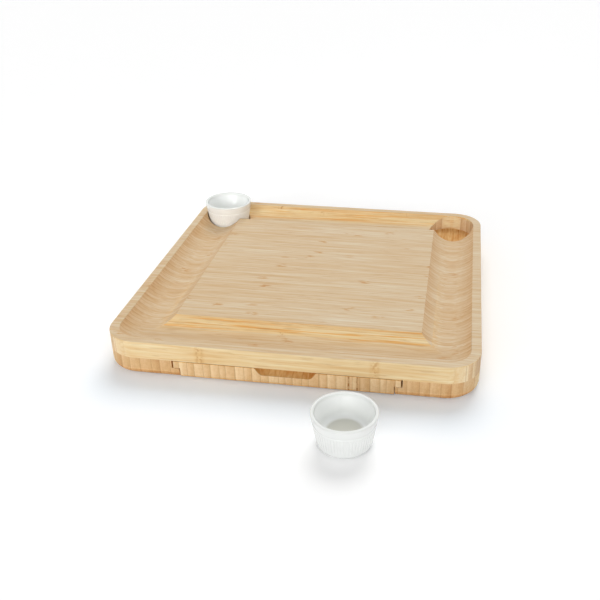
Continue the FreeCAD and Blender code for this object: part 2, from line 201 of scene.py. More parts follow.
def rounded_rectangle(low, high, radius, steps):
    """The plan of a rectangle with round corners, anticlockwise from its right front corner."""
    corners = [
        ((high[0] - radius, low[1] + radius), -90),
        ((high[0] - radius, high[1] - radius), 0),
        ((low[0] + radius, high[1] - radius), 90),
        ((low[0] + radius, low[1] + radius), 180),
    ]
    return [p for centre, turn in corners for p in arc(centre, radius, turn, turn + 90, steps)]


def prism(name, outline, start, end, axis="z"):
    """A solid with one outline all along an axis: (x, y) points for z, (x, z) for y, (y, z) for x."""
    way = "xyz".index(axis)
    ends = [[Vector((*p[:way], level, *p[way:])) for p in outline] for level in (start, end)]
    return loft(name, ends)


def cut(piece, cutters):
    for cutter in cutters:
        change = piece.modifiers.new("cut", "BOOLEAN")
        change.operation = "DIFFERENCE"
        change.solver = "EXACT"
        change.object = cutter
    settle(piece)
    for cutter in cutters:
        bpy.data.objects.remove(cutter)
    return piece


def ease(piece, chosen=lambda middle: True):
    """Round the sharp outer edges that pass a test on the edge's middle."""
    shell = open_up(piece)
    bmesh.ops.remove_doubles(shell, verts=shell.verts, dist=2 * SAME_POINT)
    flat = math.radians(0.2)
    bmesh.ops.dissolve_limit(shell, angle_limit=flat, verts=shell.verts, edges=shell.edges)
    shell.normal_update()
    sharp = []
    for edge in shell.edges:
        middle = (edge.verts[0].co + edge.verts[1].co) / 2
        if edge.is_manifold and edge.calc_face_angle_signed() > math.radians(30) and chosen(middle):
            sharp.append(edge)
    bevel(shell, sharp, SMALL_EASE, 2)
    close_up(shell, piece)


def shade(piece, angle):
    """Smooth shading with sharp edges where the surface turns by more than an angle."""
    piece.data.shade_smooth()
    piece.data.set_sharp_from_angle(angle=math.radians(angle))


def smooth(piece, angle=32):
    """Smooth shading that keeps flat faces flat and sharp edges sharp."""
    shade(piece, angle)
    weigh = piece.modifiers.new("weigh", "WEIGHTED_NORMAL")
    weigh.mode = "FACE_AREA"
    weigh.weight = 100
    weigh.keep_sharp = True
    return settle(piece)


def round_corners(corners, radii):
    """A closed outline whose corners are rounded, each by its own radius."""
    steps = 8
    outline = []
    for i, corner in enumerate(corners):
        here = Vector(corner)
        before = (Vector(corners[i - 1]) - here).normalized()
        after = (Vector(corners[(i + 1) % len(corners)]) - here).normalized()
        half = before.angle(after) / 2
        if radii[i] <= 0:
            outline.append(tuple(here))
            continue
        reach = radii[i] / math.tan(half)
        centre = here + (before + after).normalized() * radii[i] / math.sin(half)
        start, end = here + before * reach - centre, here + after * reach - centre
        turn = start.angle_signed(end)
        for step in range(steps + 1):
            spoke = start.copy()
            spoke.rotate(Matrix.Rotation(-turn * step / steps, 2))
            outline.append(tuple(centre + spoke))
    return outline


def sand(piece, bare_and_shade_of):
    """Smooth a wooden piece, and keep for its finish how far each face is bare from the cutter; the
    same number also carries painted shade and painted light.
    """
    smooth(piece)
    values = piece.data.attributes.new("routed", "FLOAT", "FACE")
    for face in piece.data.polygons:
        values.data[face.index].value = bare_and_shade_of(face.center, face.normal)
    return piece


# Top slab

def channel_profile():
    """Half of the channel's section, from the flat to its middle, as (distance, level) pairs."""
    radius = (CHANNEL_HALF**2 + CHANNEL_DEPTH**2) / (2 * CHANNEL_DEPTH)
    axis = SLAB_TOP - CHANNEL_DEPTH + radius
    drop = axis - SLAB_TOP + EDGE_EASE
    away = math.sqrt((radius + EDGE_EASE) ** 2 - drop**2)
    lean = math.atan2(away, drop)
    ease_steps, arc_steps = 4, 18
    profile = []
    for i in range(ease_steps):
        turn = lean * i / ease_steps
        level = SLAB_TOP - EDGE_EASE + EDGE_EASE * math.cos(turn)
        profile.append((away - EDGE_EASE * math.sin(turn), level))
    for i in range(arc_steps + 1):
        turn = lean * (1 - i / arc_steps)
        profile.append((radius * math.sin(turn), axis - radius * math.cos(turn)))
    return profile


def make_top_slab():
    corner_steps = 20
    signs = [(1, -1), (1, 1), (-1, 1), (-1, -1)]
    offset = HALF - CORNER_ROUND - CHANNEL_MIDDLE

    def wall_reach(turn):
        """How far the outer wall stands from the channel's corner point, at an angle."""
        across = offset * (math.cos(turn) + math.sin(turn))
        return across + math.sqrt(across**2 - 2 * offset**2 + CORNER_ROUND**2)

    def ring(level, reach_of):
        points = []
        for sign_x, sign_y in signs:
            for i in range(corner_steps + 1):
                share = math.pi / 2 * i / corner_steps
                turn = share if sign_x * sign_y > 0 else math.pi / 2 - share
                reach = reach_of(turn)
                out_x = CHANNEL_MIDDLE + reach * math.cos(turn)
                out_y = CHANNEL_MIDDLE + reach * math.sin(turn)
                points.append(Vector((sign_x * out_x, sign_y * out_y, level)))
        return points

    def inner_ring(level, distance):
        side = CHANNEL_MIDDLE - distance
        return [
            Vector((sign_x * side, sign_y * side, level))
            for sign_x, sign_y in signs
            for _ in range(corner_steps + 1)
        ]

    rings = [ring(BASE_TOP, wall_reach)]
    for inset, drop in quarter_round(TOP_EASE, 4):
        rings.append(ring(SLAB_TOP - drop, lambda t, inset=inset: wall_reach(t) - inset))
    profile = channel_profile()
    for distance, level in profile:
        rings.append(ring(level, lambda t, distance=distance: distance))
    for distance, level in reversed(profile[:-1]):
        rings.append(inner_ring(level, distance))
    slab = loft("bamboo_top_slab", rings)

    wells = []
    for sign in (-1, 1):
        plan = circle((sign * WELL_CENTRE, WELL_CENTRE), WELL_RADIUS, 128)
        wells.append(prism("well_cutter", plan, BASE_TOP - 1 * MM, SLAB_TOP + 4 * MM))
    cut(slab, wells)
    round_well_edges(slab)
    return sand(slab, slab_bare_and_shading)


def slab_bare_and_shading(middle, normal):
    """How much the cutter's bare surface shows, with painted shade and painted light: fully below, a
    little in the wells and channel.
    """
    if middle.z < BASE_TOP + 0.01 * MM:
        return 1.0
    reach = max(abs(middle.x), abs(middle.y))
    # Well walls: bare, and their finish lifts them as a painted light against their shade.
    if abs(normal.z) < 0.1 and reach < HALF - RIM_WIDTH:
        return 0.05
    # Channel: a painted shade, darker and browner towards its outer wall.
    in_channel = PLATEAU_HALF < reach < HALF - RIM_WIDTH + 1 * MM
    if in_channel and middle.z < SLAB_TOP - 0.3 * MM:
        return 0.05 + 0.17 * (reach - PLATEAU_HALF) / (2 * CHANNEL_HALF)
    return 0.0


def round_well_edges(slab):
    """Break the upper edge of each well with a small round."""
    def on_wall(point):
        away = math.hypot(abs(point.co.x) - WELL_CENTRE, point.co.y - WELL_CENTRE)
        return abs(away - WELL_RADIUS) < 0.02 * MM

    def on_rim(point):
        return on_wall(point) and point.co.z > BASE_TOP + 1 * MM

    shell = open_up(slab)
    bmesh.ops.remove_doubles(shell, verts=shell.verts, dist=SAME_POINT)
    rim = [v for v in shell.verts if on_rim(v)]
    bmesh.ops.remove_doubles(shell, verts=rim, dist=0.55 * MM)
    bmesh.ops.dissolve_degenerate(shell, edges=shell.edges, dist=SAME_POINT)
    shell.normal_update()
    loop = []
    for edge in shell.edges:
        walls = [face for face in edge.link_faces if all(on_wall(v) for v in face.verts)]
        if all(on_rim(v) for v in edge.verts) and len(walls) == 1:
            loop.append(edge)
    bevel(shell, loop, EDGE_EASE, 3)
    close_up(shell, slab)


# Base slab

def magnet_cutters(front, back):
    cutters = []
    for sign in (-1, 1):
        plan = circle((sign * MAGNET_SPREAD, MAGNET_LEVEL), MAGNET_RADIUS, 48)
        cutters.append(prism("magnet_cutter", plan, front, back, axis="y"))
    return cutters


def tee(lower_half, floor, ledge, half, top):
    """The T-shaped section that the slot and the drawer share."""
    return both_sides([(lower_half, floor), (lower_half, ledge), (half, ledge), (half, top)])


def make_base_slab():
    def ring(level, inset):
        reach = HALF - inset
        plan = rounded_rectangle((-reach, -reach), (reach, reach), CORNER_ROUND - inset, 20)
        return [Vector((x, y, level)) for x, y in plan]

    rings = [ring(BASE_TOP, 0)]
    rings += [ring(level, inset) for inset, level in quarter_round(LOWER_ROUND, 12)]
    base = loft("bamboo_base_slab", rings)
    beyond = 5 * MM
    section = tee(SLOT_LOWER_HALF, -beyond, LEDGE_TOP, SLOT_HALF, BASE_TOP + beyond)
    slot = prism("slot_cutter", section, -HALF - beyond, SLOT_BACK, axis="y")
    cut(base, [slot, *magnet_cutters(SLOT_BACK - 1 * MM, SLOT_BACK + MAGNET_SEAT)])
    ease(base, lambda middle: middle.z < BASE_TOP - 0.1 * MM)
    return sand(base, base_bare_and_shading)


def base_bare_and_shading(middle, normal):
    """Painted shade on the floor of the wells; the bare slot, whose side walls carry a darker painted
    shade in the gap round the drawer; and the lower round's painted shade.
    """
    # The base's top, seen as the floor of the wells: browner and darker, a painted shade in the recess.
    if middle.z > BASE_TOP - 0.01 * MM:
        return 1.0
    # The slot's side walls (1.6): a painted shade in the gap round the drawer.
    if abs(middle.x) < SLOT_HALF + 0.01 * MM and 1 * MM - HALF < middle.y < SLOT_BACK:
        return 1.6 if abs(normal.x) > 0.9 else 1.0
    return lower_round_painted_shade(normal)


def lower_round_painted_shade(normal):
    """Painted shade: the lower round turns browner and darker the more it faces down."""
    return min(0.5, max(0.0, -2.2 * normal.z))


# Drawer

def make_drawer():
    section = tee(TRAY_LOWER_HALF, TRAY_LOW.z, FLANGE_FLOOR, TRAY_HIGH.x, TRAY_HIGH.z)
    tray = prism("bamboo_drawer_tray", section, TRAY_LOW.y, TRAY_HIGH.y, axis="y")

    def at_lower_front(point):
        return math.hypot(point.co.y - TRAY_LOW.y, point.co.z - TRAY_LOW.z) < SAME_POINT

    shell = open_up(tray)
    lower = [edge for edge in shell.edges if all(at_lower_front(v) for v in edge.verts)]
    bevel(shell, lower, TRAY_ROUND, 10)
    close_up(shell, tray)

    beyond = 3 * MM
    above = TRAY_HIGH.z + beyond
    cutters = [scoop_cutter(beyond)]
    for row in range(len(TOOLS)):
        front = FIRST_POCKET + row * POCKET_STEP
        back = front + POCKET_WIDTH
        plan = rounded_rectangle((-POCKET_HALF, front), (POCKET_HALF, back), POCKET_ROUND, 10)
        cutters.append(prism("pocket_cutter", plan, POCKET_FLOOR, above))
    cutters += magnet_cutters(TRAY_HIGH.y - MAGNET_SEAT, TRAY_HIGH.y + beyond)
    cut(tray, cutters)
    ease(tray)
    return sand(tray, tray_bare_and_shading)


def scoop_cutter(beyond):
    """The finger scoop's hollow: slanted sides, and a floor that sweeps up to the drawer's top."""
    floor = TRAY_HIGH.z - SCOOP_DROP
    above = TRAY_HIGH.z + beyond
    lean = (SCOOP_HALF - SCOOP_FLOOR_HALF) / SCOOP_DROP * beyond
    corners = both_sides([(SCOOP_FLOOR_HALF, floor), (SCOOP_HALF + lean, above)])
    outline = round_corners(corners, [SCOOP_ROUND, 0, 0, SCOOP_ROUND])
    hollow = prism("scoop_cutter", outline, -HALF - beyond, -HALF + SCOOP_DEPTH, axis="y")
    chord = math.hypot(SCOOP_DEPTH, SCOOP_DROP)
    half_turn = math.degrees(math.asin(chord / 2 / SCOOP_SWEEP))
    slope = math.degrees(math.atan2(SCOOP_DROP, SCOOP_DEPTH))
    first, last = slope - half_turn - 90, slope + half_turn - 90
    front = arc((0, 0), SCOOP_SWEEP, first, last, 1)[0]
    bed = arc((-HALF - front[0], floor - front[1]), SCOOP_SWEEP, first, last, 16)
    back = SCOOP_DEPTH + beyond - HALF
    bed += [(back, TRAY_HIGH.z), (back, 0), (-HALF, 0)]
    return cut(hollow, [prism("scoop_bed", bed, -2 * SCOOP_HALF, 2 * SCOOP_HALF, axis="x")])


def tray_bare_and_shading(middle, normal):
    """The bare scoop with a painted warm light, the bare pockets, a painted orange line of light on the
    eased top front edge, and painted shade in the side gaps and on the lower round.
    """
    inside = TRAY_LOW.z + 4 * MM < middle.z < TRAY_HIGH.z - 0.4 * MM
    # Scoop: bare, and the drawer's tint, above one in red, paints a warm light into its shade.
    if inside and middle.y < -HALF + SCOOP_DEPTH + 0.1 * MM and abs(middle.x) < SCOOP_HALF:
        return 1.0 if middle.y > 0.4 * MM - HALF else 0.0
    if inside and abs(middle.x) < POCKET_HALF + 0.1 * MM and normal.y > -0.99:
        return 0.5
    # Eased top front edge: a painted orange line of light beside the dark gap.
    if middle.z > TRAY_HIGH.z - SMALL_EASE and middle.y < SMALL_EASE - HALF:
        return 1.0
    # Side faces (1.6): a painted shade in the gap round the drawer.
    if abs(normal.x) > 0.9 and middle.z > TRAY_LOW.z:
        return 1.6
    return lower_round_painted_shade(normal)


# Node helpers

class Net:
    """Adds nodes to a tree and joins them with plain calls."""

    def __init__(self, tree):
        self.tree = tree

    def node(self, kind, **settings):
        node = self.tree.nodes.new(kind)
        for name, value in settings.items():
            setattr(node, name, value)
        return node

    def feed(self, socket, value):
        if isinstance(value, bpy.types.NodeSocket):
            self.tree.links.new(value, socket)
        else:
            socket.default_value = value

    def fill(self, node, **values):
        """Set or join inputs by their names, with _ for a blank, and give the first output."""
        for name, value in values.items():
            self.feed(node.inputs[name.replace("_", " ")], value)
        return node.outputs[0] if node.outputs else None

    def give(self, kind, *values, **settings):
        """The first output of a new node whose inputs are set or joined in their order."""
        node = self.node(kind, **settings)
        for socket, value in zip(node.inputs, values):
            self.feed(socket, value)
        return node.outputs[0]

    def math(self, operation, *values):
        return self.give("ShaderNodeMath", *values, operation=operation)

    def times(self, first, *others):
        for other in others:
            first = self.math("MULTIPLY", first, other)
        return first

    def plus(self, first, *others):
        for other in others:
            first = self.math("ADD", first, other)
        return first

    def minus(self, first, second):
        return self.math("SUBTRACT", first, second)

    def rest(self, share):
        """What a share leaves of one."""
        return self.minus(1.0, share)

    def vector(self, operation, *values):
        return self.give("ShaderNodeVectorMath", *values, operation=operation)

    def split(self, value):
        node = self.node("ShaderNodeSeparateXYZ")
        self.feed(node.inputs[0], value)
        return node.outputs

    def join(self, *values):
        return self.give("ShaderNodeCombineXYZ", *values)

    def between(self, share, first, last):
        """A number that goes from first to last while the share goes from 0 to 1."""
        node = self.node("ShaderNodeMix", data_type="FLOAT")
        for place, value in ((0, share), (2, first), (3, last)):
            self.feed(node.inputs[place], value)
        return node.outputs[0]

    def mix(self, share, first, second, blend="MIX"):
        node = self.node("ShaderNodeMix", data_type="RGBA", blend_type=blend)
        for place, value in ((0, share), (6, first), (7, second)):
            self.feed(node.inputs[place], value)
        return node.outputs[2]

    def step(self, value, low, high, first=0.0, last=1.0):
        """A smooth step from first to last while the value goes from low to high."""
        node = self.node("ShaderNodeMapRange", interpolation_type="SMOOTHSTEP")
        return self.fill(node, Value=value, From_Min=low, From_Max=high, To_Min=first, To_Max=last)

    def noise(self, place, stretch, detail=2.0, roughness=0.5):
        """Cloudy noise of 0 to 1, stretched along each axis by its own scale."""
        scaled = self.vector("MULTIPLY", place, stretch)
        node = self.node("ShaderNodeTexNoise", noise_dimensions="3D")
        return self.fill(node, Vector=scaled, Scale=1.0, Detail=detail, Roughness=roughness)

    def attribute(self, name):
        return self.node("ShaderNodeAttribute", attribute_name=name).outputs["Fac"]


def new_tree(family, name, inputs, outputs):
    """A tree with named sockets, each given as its name, kind and, for some, first value."""
    tree = bpy.data.node_groups.new(name, family)
    for way, sockets in (("INPUT", inputs), ("OUTPUT", outputs)):
        for label, kind, *value in sockets:
            socket = tree.interface.new_socket(label, in_out=way, socket_type="NodeSocket" + kind)
            if value:
                socket.default_value = value[0]
    net = Net(tree)
    return net, net.node("NodeGroupInput").outputs, net.node("NodeGroupOutput")


# Bamboo

def bamboo_group():
    """Strips of bamboo glued side by side: fibres run along X, strips lie side by side along Y."""
    numbers = {
        # Routed: how bare a face is, a number that also carries painted shade and painted light.
        "Routed": 0.0, "Strip Width": 5.5 * MM, "Strip Shift": 0.0, "Seed": 1.0, "Edge Strip": -1.0,
        "Edge Knot": 0.0, "Dotted Place": 1.0, "Tone Spread": 0.05, "Joint Strength": 0.5,
        "Grain": 1.0,
    }
    colours = {
        "Flat": (213, 188, 152),
        "Side": (228, 199, 149),
        "End": (216, 185, 144),
        "Corner": (234, 209, 168),
        "Streak": (224, 162, 74),
        "Knot": (196, 140, 80),
        "Fleck": (196, 144, 86),
        "Joint": (172, 116, 60),
    }
    inputs = [("Place", "Vector"), ("Facing", "Vector")]
    inputs += [(name, "Float", value) for name, value in numbers.items()]
    inputs += [(f"{name} Colour", "Color", srgb(*value)) for name, value in colours.items()]
    # Routed Tint: the colour of bare wood, which also paints shade in recesses and, above one, warm
    # light.
    inputs.append(("Routed Tint", "Color", (0.98, 0.71, 0.40, 1.0)))
    outputs = [("Colour", "Color"), ("Roughness", "Float"), ("Height", "Float")]
    net, take, made = new_tree("ShaderNodeTree", "bamboo strips", inputs, outputs)
    calc, times, plus, minus, rest = net.math, net.times, net.plus, net.minus, net.rest
    step, between, noise, mix = net.step, net.between, net.noise, net.mix
    place, routed, grain = take["Place"], take["Routed"], take["Grain"]
    along, across, _ = net.split(place)
    facing_x, facing_y, facing_z = net.split(take["Facing"])

    # Which way the strips are cut
    sideways = calc("ABSOLUTE", facing_x)
    wall = step(calc("ABSOLUTE", facing_z), 0.10, 0.30, 1.0, 0.0)
    bare = step(routed, 0.02, 0.04)
    from_turn = minus(sideways, between(bare, 0.80, 0.42))
    end_on = between(wall, step(sideways, 0.35, 0.95), step(from_turn, -0.08, 0.08))
    slanted = step(sideways, 0.10, 0.60)
    front_on = step(times(facing_y, -1.0), 0.03, 0.45)
    side_on = calc("MAXIMUM", front_on, step(facing_y, 0.45, 1.0))
    sloping = times(front_on, between(wall, bare, 0.10))
    at_corner = times(step(sideways, 0.05, 0.75), wall, rest(end_on), rest(bare))

    # Which strip this is, and where across it
    waver = net.node("ShaderNodeTexNoise", noise_dimensions="1D")
    uneven = times(minus(net.fill(waver, W=across, Scale=70.0, Detail=0.0), 0.5), 0.9)
    strips_across = calc("DIVIDE", across, take["Strip Width"])
    count = plus(strips_across, take["Strip Shift"], uneven)
    strip = calc("FLOOR", count)
    share = calc("FRACT", count)
    luck = net.node("ShaderNodeTexWhiteNoise", noise_dimensions="2D")
    net.fill(luck, Vector=net.join(strip, take["Seed"]))
    draws = net.node("ShaderNodeSeparateColor")
    net.fill(draws, Color=luck.outputs["Color"])
    tone, hue, slip = draws.outputs
    own_place = net.vector("ADD", place, net.join(times(slip, 3.0), times(hue, 0.4)))

    # Fibres, broader streaks and slow changes of tone
    fibre = noise(own_place, (24, 900, 900), 3.0, 0.6)
    streak = noise(own_place, (19, 470, 470))
    vein = step(noise(own_place, (48, 560, 560)), 0.58, 0.68)
    lamella = noise(own_place, (12, 480, 70), 3.0, 0.6)
    bold = noise(own_place, (11, 420, 640), 3.0, 0.55)
    broad = noise(own_place, (5, 90, 90), 1.0)
    cloud = noise(place, (7, 9, 9), 1.0)
    pores = noise(own_place, (1100, 1100, 1100), 2.0, 0.6)
    mottle = noise(own_place, (90, 380, 380))

    # Joints between strips, some darker than others
    edge = calc("MINIMUM", share, rest(share))
    edge_distance = times(edge, take["Strip Width"])
    joint = step(edge_distance, 0.05 * MM, between(slanted, 0.40 * MM, 0.60 * MM), 1.0, 0.0)
    joint = times(joint, between(hue, between(slanted, 0.15, 0.5), 1.0))
    joint = times(joint, between(slanted, 0.25, 1.0), take["Joint Strength"])

    # Knots, one in every pitch along each strip
    pitch = 152 * MM
    own_phase = minus(0.5, calc("DIVIDE", take["Edge Knot"], pitch))
    on_edge = calc("LESS_THAN", across, take["Edge Strip"])
    phase = between(on_edge, times(slip, 7.0), own_phase)
    cell_place = plus(calc("DIVIDE", along, pitch), phase)
    from_knot = minus(calc("FRACT", cell_place), 0.5)
    knot_distance = times(calc("ABSOLUTE", from_knot), pitch)
    knot_luck = net.node("ShaderNodeTexWhiteNoise", noise_dimensions="3D")
    cell = net.join(strip, calc("FLOOR", cell_place), take["Seed"])
    strength = step(net.fill(knot_luck, Vector=cell), 0.3, 0.9, 0.0, 0.85)
    long_fleck = step(noise(own_place, (110, 480, 600)), 0.48, 0.60)
    flat_knot = times(step(knot_distance, 1 * MM, 8 * MM, 1.0, 0.0), long_fleck)
    flat_knot = times(flat_knot, strength, between(slanted, 1.0, 0.4))
    dots = step(noise(own_place, (420, 420, 420)), 0.46, 0.62)
    side_knot = times(step(knot_distance, 1 * MM, 4.5 * MM, 1.0, 0.0), dots)
    side_knot = times(side_knot, between(on_edge, strength, 0.55))
    knot = times(between(side_on, flat_knot, side_knot), rest(end_on))
    knot_colour = mix(side_on, take["Fleck Colour"], take["Knot Colour"])
    swell = step(knot_distance, 3 * MM, 6 * MM, 1.0, 0.0)

    # A strip whose two joints show as rows of dark dots
    from_dotted = calc("ABSOLUTE", minus(across, take["Dotted Place"]))
    from_line = calc("ABSOLUTE", minus(from_dotted, 3.7 * MM))
    dotted = step(from_line, 0.3 * MM, 1.2 * MM, 1.0, 0.0)
    dotted = times(dotted, between(dots, 0.40, 1.0), end_on)
    pale_strip = step(from_dotted, 2.8 * MM, 3.4 * MM, 1.0, 0.0)

    # Colour
    orange = times(step(bold, 0.53, 0.63), sloping, between(end_on, 0.8, 0.0))
    layers = [
        (side_on, take["Side Colour"]),
        (end_on, take["End Colour"]),
        (times(at_corner, 0.8), take["Corner Colour"]),
        (orange, take["Streak Colour"]),
        (times(vein, between(slanted, 0.22, 0.0)), take["Joint Colour"]),
        (knot, knot_colour),
        (joint, take["Joint Colour"]),
        (dotted, take["Joint Colour"]),
    ]
    colour = take["Flat Colour"]
    for amount, layer in layers:
        colour = mix(amount, colour, layer)

    def swing(value, *amounts):
        """How far a value stands from its middle, times the amounts."""
        return times(minus(value, 0.5), *amounts)

    effects = [
        swing(tone, take["Tone Spread"], between(slanted, 0.9, 1.5)),
        swing(fibre, grain, between(slanted, 0.16, 0.06)),
        swing(streak, grain, between(slanted, 0.26, 0.0)),
        swing(lamella, slanted, 0.20),
        swing(broad, 0.10),
        swing(cloud, 0.05),
        swing(pores, end_on, 0.16),
        swing(mottle, end_on, 0.14),
        swing(pores, at_corner, 0.20),
        swing(mottle, routed, 0.40),
        times(step(share, 0.05, 1.0), end_on, -0.10),
        times(pale_strip, end_on, 0.07),
        times(swell, wall, -0.03),
        # Bare walls made brighter: a painted light against the shade in the wells.
        times(bare, wall, 0.08),
        # Above one: a painted shade that darkens the walls of the gap round the drawer.
        times(calc("MAXIMUM", minus(routed, 1.0), 0.0), -0.40),
    ]
    brightness = plus(1.0, *effects)

    # A darker place is a yellower one, most of all where the fibres lie along the face
    greener = calc("POWER", brightness, between(end_on, 2.5, 1.8))
    bluer = calc("POWER", brightness, between(end_on, 4.6, 2.8))
    colour = mix(1.0, colour, net.join(brightness, greener, bluer), "MULTIPLY")
    # The bare tint, which also lays painted shade in recesses and painted warm light in the scoop.
    tint = mix(routed, WHITE, take["Routed Tint"])
    rough = plus(0.46, times(fibre, 0.16), times(routed, 0.12))
    height = minus(plus(times(fibre, 0.6), times(streak, 0.4)), times(joint, 0.2))
    colour = mix(1.0, colour, tint, "MULTIPLY")
    net.fill(made, Colour=colour, Roughness=rough, Height=height)
    return net.tree


def emptied(block):
    """The node net of a new material or world, which starts with none."""
    block.use_nodes = True
    block.node_tree.nodes.clear()
    return Net(block.node_tree)


def new_material(name):
    material = bpy.data.materials.new(name)
    net = emptied(material)
    shader = net.node("ShaderNodeBsdfPrincipled")
    net.fill(net.node("ShaderNodeOutputMaterial"), Surface=shader.outputs[0])
    return material, net, shader, net.node("ShaderNodeTexCoord").outputs


def lay_on(net, shader, colour, rough, height, strength=0.25, depth=0.05 * MM, **more):
    """Give a shader its colour, its roughness, a faint relief and whatever else it needs."""
    bump = net.node("ShaderNodeBump")
    relief = net.fill(bump, Strength=strength, Distance=depth, Height=height)
    net.fill(shader, Base_Color=colour, Roughness=rough, Normal=relief, **more)


BAMBOO = bamboo_group()


def bamboo(name, fibre_axis="x", **values):
    """A bamboo finish for a piece whose fibres run along X or Y."""
    material, net, shader, where = new_material(name)
    place, facing = where["Object"], where["Normal"]
    if fibre_axis == "y":
        turned = []
        for value, kind in ((place, "POINT"), (facing, "NORMAL")):
            turn = net.node("ShaderNodeMapping", vector_type=kind)
            turned.append(net.fill(turn, Vector=value, Rotation=(0, 0, math.pi / 2)))
        place, facing = turned
    strips = net.node("ShaderNodeGroup", node_tree=BAMBOO)
    net.fill(strips, Place=place, Facing=facing, Routed=net.attribute("routed"), **values)
    lay_on(net, shader, *strips.outputs, Specular_IOR_Level=0.35)
    return material


# Porcelain and metal

def porcelain():
    """White glaze, with a painted shade that greys the middle of the cup's floor and, a little, its
    lip.
    """
    material, net, shader, where = new_material("white_porcelain")
    pooled = net.noise(where["Object"], (60, 60, 60))
    colour = net.mix(pooled, srgb(242, 244, 242), srgb(246, 248, 246))
    # Painted shade: grey on the cup's floor and, faintly, on its lip.
    colour = net.mix(net.attribute("greying"), colour, srgb(203, 202, 191))
    lay_on(net, shader, colour, net.step(pooled, 0.2, 0.8, 0.07, 0.12), pooled)
    return material


def metal(name, colour, brushing, rough_low, rough_high):
    """Bare metal whose brushing shows in its tone, its gloss and a faint relief."""
    material, net, shader, where = new_material(name)
    lines = net.noise(where["Object"], brushing, 3.0, 0.7)
    darker = tuple(0.88 * part for part in colour[:3]) + (1.0,)
    shade = net.mix(lines, colour, darker)
    rough = net.step(lines, 0.2, 0.8, rough_low, rough_high)
    lay_on(net, shader, shade, rough, lines, 0.3, 0.02 * MM, Metallic=1.0)
    return material


# Ramekins, their sections in mm

FOOT_GAP = 0.8
WALL_AT_TABLE = 21.8
WALL_FLARE = 1 / 6
FLUTES_FROM, FLUTES_TO = 4.2, 21.0
GROOVE = [(21.3, 0.15), (21.6, 0.35), (21.9, 0.35), (22.2, 0.12)]
LIP_ROUND = 1.1
LIP_INNER = 24.78
INSIDE_WALL = [(23.0, 26.5), (22.0, 24.1), (20.8, 20.9), (19.75, 17.9)]
CUP_FLOOR = 11.5
FLOOR_ROUND = 6.0


def ramekin_section(reach, top):
    """The cup's section from the middle of its foot, up outside, over the lip and down to its floor.

    Each point is (radius, level, share of the full flute depth, painted shade of the glaze), in mm."""
    def wall(level, inset=0.0):
        return WALL_AT_TABLE + level * WALL_FLARE - inset, level

    foot = [(0, FOOT_GAP), (16.2, FOOT_GAP), (17.0, 0), *arc((18.4, 4.0), 4.0, -90, -9.5, 9)]
    shares = [i / 14 for i in range(15)]
    fluted = [(*wall(FLUTES_FROM + (FLUTES_TO - FLUTES_FROM) * share), share) for share in shares]
    groove = [wall(level, depth) for level, depth in GROOVE]
    band = [wall(level) for level in (22.6, 25.5, 28.2)]
    lip = arc((reach - LIP_ROUND, top - LIP_ROUND), LIP_ROUND, -9.5, 90, 8)
    lip.append((reach - 1.45, top))
    lip += arc((LIP_INNER, top - LIP_ROUND), LIP_ROUND, 90, 199.4, 8)
    bend = arc((13.25, CUP_FLOOR + FLOOR_ROUND), FLOOR_ROUND, -19.4, -90, 12)
    inside = INSIDE_WALL + bend
    inside += [(9, CUP_FLOOR), (4.5, CUP_FLOOR), (0, CUP_FLOOR)]

    section = [(r, z, 0, 0) for r, z in foot]
    section += [(r, z, min(1.0, 6 * share, 8 * (1 - share)), 0) for r, z, share in fluted]
    section += [(r, z, 0, 0) for r, z in groove + band]
    # A little painted shade on the lip, and on the floor a painted shade that deepens towards its
    # middle.
    section += [(r, z, 0, 0.15) for r, z in lip]
    section += [(r, z, 0, min(1.0, max(0.0, (15.8 - r) / 2.8))) for r, z in inside]
    return section


def sampler(net, line, row):
    """A way to read, for each row of a grid, a number that the line's point of that row has."""
    def read(value, kind="FLOAT"):
        if isinstance(value, str):
            named = net.node("GeometryNodeInputNamedAttribute", data_type="FLOAT")
            value = net.fill(named, Name=value)
        found = net.node("GeometryNodeSampleIndex", data_type=kind)
        return net.fill(found, Geometry=line, Index=row, Value=value)

    return read


def wrapped_grid(net, line, steps):
    """A grid with a row for each point of the line and a column for each step round."""
    rows = net.give("GeometryNodeAttributeDomainSize", line)
    grid = net.node("GeometryNodeMeshGrid")
    mesh = net.fill(grid, Vertices_X=net.plus(steps, 1), Vertices_Y=rows)
    index = net.give("GeometryNodeInputIndex")
    row = net.math("MODULO", index, rows)
    column = net.math("FLOOR", net.math("DIVIDE", index, rows))
    turn = net.times(net.math("DIVIDE", column, steps), 2 * math.pi)
    read = sampler(net, line, row)
    spot = read(net.give("GeometryNodeInputPosition"), "FLOAT_VECTOR")
    return mesh, turn, spot, read


def put_at(net, mesh, spot):
    return net.fill(net.node("GeometryNodeSetPosition"), Geometry=mesh, Position=spot)


def closed_shell(net, mesh, finish):
    """The wrapped grid with its seam and poles joined, in its finish."""
    merged = net.node("GeometryNodeMergeByDistance")
    mesh = net.fill(merged, Geometry=mesh, Distance=0.002 * MM)
    mesh = net.give("GeometryNodeRealizeInstances", mesh)
    return net.fill(net.node("GeometryNodeSetMaterial"), Geometry=mesh, Material=finish)


